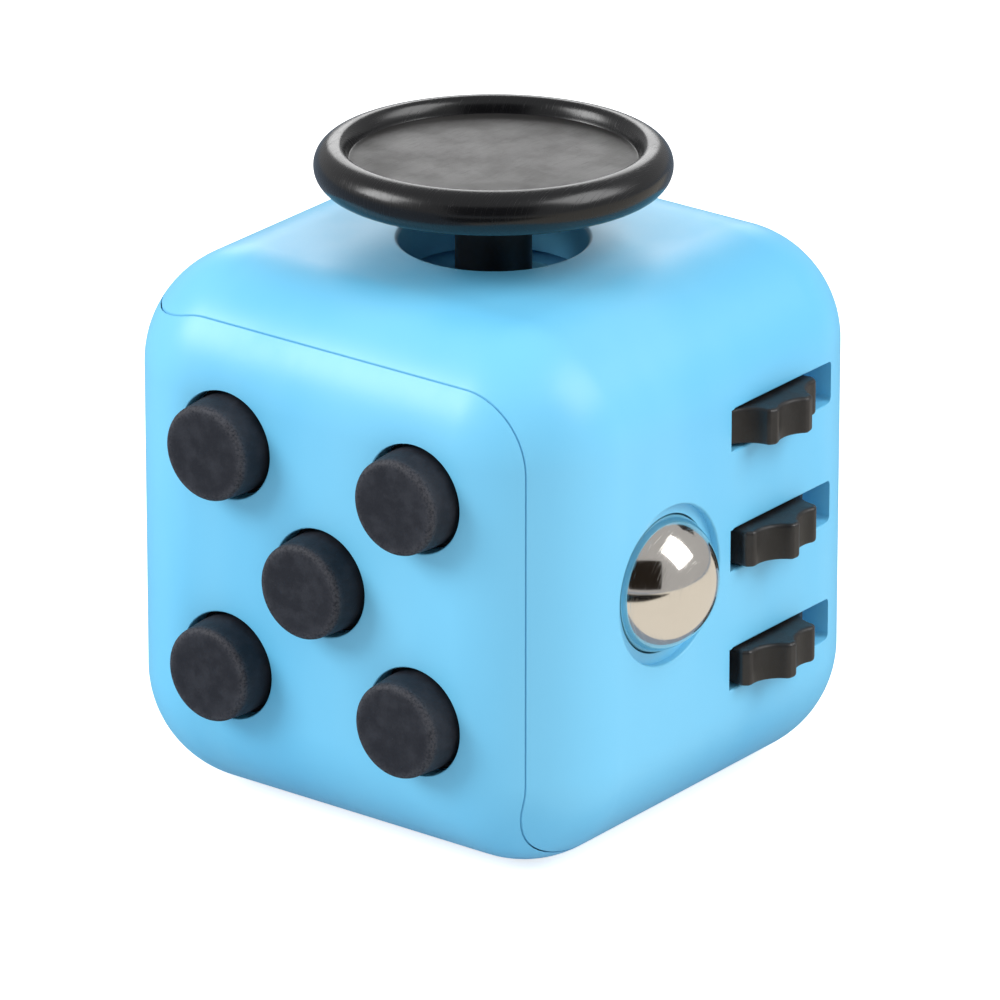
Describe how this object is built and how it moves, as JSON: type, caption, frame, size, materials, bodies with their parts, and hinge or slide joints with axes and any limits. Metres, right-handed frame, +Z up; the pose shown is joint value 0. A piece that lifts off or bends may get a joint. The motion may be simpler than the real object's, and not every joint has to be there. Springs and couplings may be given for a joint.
{
  "type": "fidget cube",
  "caption": "Rounded two-part cube with push buttons, a rolling ball, thumb wheels, a gliding joystick, a dial, a flip switch and a thumb dish.",
  "frame": {"origin": "centre of the bottom face that the cube stands on", "axes": "+Z up towards the joystick; -Y is the five-button face, +X the ball and wheel face, +Y the dial, -X the flip switch"},
  "size_m": [0.0393, 0.038, 0.0404],
  "materials": {
    "shell_plastic": "injection-moulded ABS in light sky blue, satin to semi-gloss",
    "button_rubber": "matte charcoal silicone rubber",
    "gloss_black": "semi-gloss black plastic",
    "wheel_black": "satin black plastic",
    "ball_steel": "polished steel",
    "inner_plastic": "plain black moulding",
    "spring_steel": "drawn spring wire",
    "screw_steel": "plain steel"
  },
  "bodies": {
    "cube": {"shell_front_half": "shell_plastic", "shell_back_half": "shell_plastic", "button_spring_1": "spring_steel", "button_spring_2": "spring_steel", "button_spring_3": "spring_steel", "button_spring_4": "spring_steel", "button_spring_5": "spring_steel", "button_backplate": "inner_plastic", "backplate_screw_1": "screw_steel", "backplate_screw_2": "screw_steel", "backplate_screw_3": "screw_steel", "joystick_tray": "inner_plastic", "joystick_spring": "spring_steel", "tray_screw_1": "screw_steel", "tray_screw_2": "screw_steel", "tray_screw_3": "screw_steel", "tray_screw_4": "screw_steel", "ball_spring": "spring_steel", "ball_spring_cap": "inner_plastic", "wheel_pin": "screw_steel", "wheel_click_leaf": "spring_steel", "leaf_screw_1": "screw_steel", "leaf_screw_2": "screw_steel", "rocker_pin": "screw_steel", "rocker_bracket": "inner_plastic", "bracket_screw_1": "screw_steel", "bracket_screw_2": "screw_steel"},
    "button_1": {"button_cap_1": "button_rubber"},
    "button_2": {"button_cap_2": "button_rubber"},
    "button_3": {"button_cap_3": "button_rubber"},
    "button_4": {"button_cap_4": "button_rubber"},
    "button_5": {"button_cap_5": "button_rubber"},
    "joystick_slider": {"joystick_shutter": "shell_plastic"},
    "joystick": {"joystick_pad": "gloss_black", "joystick_stem": "gloss_black"},
    "ball_carrier": {"ball_cup": "inner_plastic"},
    "ball": {"ball": "ball_steel"},
    "low_wheel": {"wheel_low": "wheel_black"},
    "middle_wheel": {"wheel_middle": "wheel_black"},
    "high_wheel": {"wheel_high": "wheel_black"},
    "dial": {"dial": "gloss_black", "dial_washer": "screw_steel", "dial_screw": "screw_steel"},
    "rocker": {"rocker": "gloss_black", "rocker_plunger": "screw_steel", "rocker_plunger_spring": "spring_steel"}
  },
  "joints": [
    {"name": "button_1_press", "type": "slide", "parent": "cube", "child": "button_1", "axis": [0, 1, 0], "range_m": [0, 0.0011], "stiffness_N_per_m": 400, "springref_m": -0.0005, "deforming": ["button_spring_1"]},
    {"name": "button_2_press", "type": "slide", "parent": "cube", "child": "button_2", "axis": [0, 1, 0], "range_m": [0, 0.0011], "stiffness_N_per_m": 400, "springref_m": -0.0005, "deforming": ["button_spring_2"]},
    {"name": "button_3_press", "type": "slide", "parent": "cube", "child": "button_3", "axis": [0, 1, 0], "range_m": [0, 0.0011], "stiffness_N_per_m": 400, "springref_m": -0.0005, "deforming": ["button_spring_3"]},
    {"name": "button_4_press", "type": "slide", "parent": "cube", "child": "button_4", "axis": [0, 1, 0], "range_m": [0, 0.0011], "stiffness_N_per_m": 400, "springref_m": -0.0005, "deforming": ["button_spring_4"]},
    {"name": "button_5_press", "type": "slide", "parent": "cube", "child": "button_5", "axis": [0, 1, 0], "range_m": [0, 0.0011], "stiffness_N_per_m": 400, "springref_m": -0.0005, "deforming": ["button_spring_5"]},
    {"name": "joystick_glide_x", "type": "slide", "parent": "cube", "child": "joystick_slider", "axis": [1, 0, 0], "range_m": [-0.0022, 0.0022], "stiffness_N_per_m": 250},
    {"name": "joystick_glide_y", "type": "slide", "parent": "joystick_slider", "child": "joystick", "axis": [0, 1, 0], "range_m": [-0.0022, 0.0022], "stiffness_N_per_m": 250, "deforming": ["joystick_spring"]},
    {"name": "ball_press", "type": "slide", "parent": "cube", "child": "ball_carrier", "axis": [-1, 0, 0], "range_m": [0, 0.0012], "stiffness_N_per_m": 600, "springref_m": -0.0005, "deforming": ["ball_spring"]},
    {"name": "ball_roll", "type": "hinge", "parent": "ball_carrier", "child": "ball", "pos_m": [0.0152, -0.005, 0.0173], "axis": [0, 0, 1], "continuous": true},
    {"name": "low_wheel_turn", "type": "hinge", "parent": "cube", "child": "low_wheel", "pos_m": [0.0146, 0.00525, 0.0098], "axis": [0, 0, 1], "continuous": true},
    {"name": "middle_wheel_turn", "type": "hinge", "parent": "cube", "child": "middle_wheel", "pos_m": [0.0146, 0.00525, 0.0175], "axis": [0, 0, 1], "continuous": true},
    {"name": "high_wheel_turn", "type": "hinge", "parent": "cube", "child": "high_wheel", "pos_m": [0.0146, 0.00525, 0.0252], "axis": [0, 0, 1], "continuous": true},
    {"name": "dial_spin", "type": "hinge", "parent": "cube", "child": "dial", "pos_m": [0, 0.017, 0.017], "axis": [0, 1, 0], "continuous": true},
    {"name": "rocker_flip", "type": "hinge", "parent": "cube", "child": "rocker", "pos_m": [-0.01413, 0, 0.017], "axis": [0, 1, 0], "range_deg": [-24, 0]}
  ]
}
